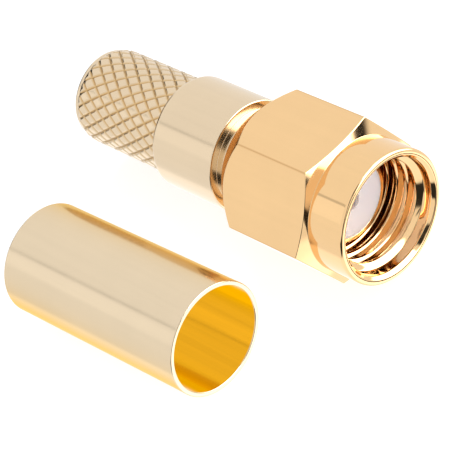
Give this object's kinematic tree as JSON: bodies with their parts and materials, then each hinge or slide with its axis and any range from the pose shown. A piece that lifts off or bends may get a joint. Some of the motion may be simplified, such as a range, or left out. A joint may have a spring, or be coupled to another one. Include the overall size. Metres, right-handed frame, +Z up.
{
  "type": "sma connector",
  "caption": "Gold-plated coaxial screw-on cable plug with a hexagon coupling nut, a diamond-knurled crimp stem and a loose crimp ferrule beside it.",
  "frame": {"origin": "on the plug's axis, in the plane of the contact ring's face inside the nut", "axes": "+X along the plug's axis towards the mating end, +Z up with one flat of the nut down"},
  "size_m": [0.0218, 0.0183, 0.008],
  "materials": {
    "nut_gold": "polished gold plate",
    "spring_bronze": "plain bronze",
    "seal_rubber": "soft matt silicone",
    "body_gold": "satin pale gold plate",
    "insulator_white": "smooth white insulator",
    "contact_gold": "bright gold plate",
    "ferrule_gold": "satin pale gold plate outside, brighter inside"
  },
  "bodies": {
    "plug": {"connector_body": "body_gold", "snap_ring": "spring_bronze", "gasket": "seal_rubber", "front_dielectric": "insulator_white", "centre_contact": "contact_gold", "crimp_ferrule": "ferrule_gold"},
    "nut": {"coupling_nut": "nut_gold"}
  },
  "joints": [
    {"name": "nut_turn", "type": "hinge", "parent": "plug", "child": "nut", "pos_m": [0, 0, 0], "axis": [1, 0, 0], "continuous": true}
  ]
}
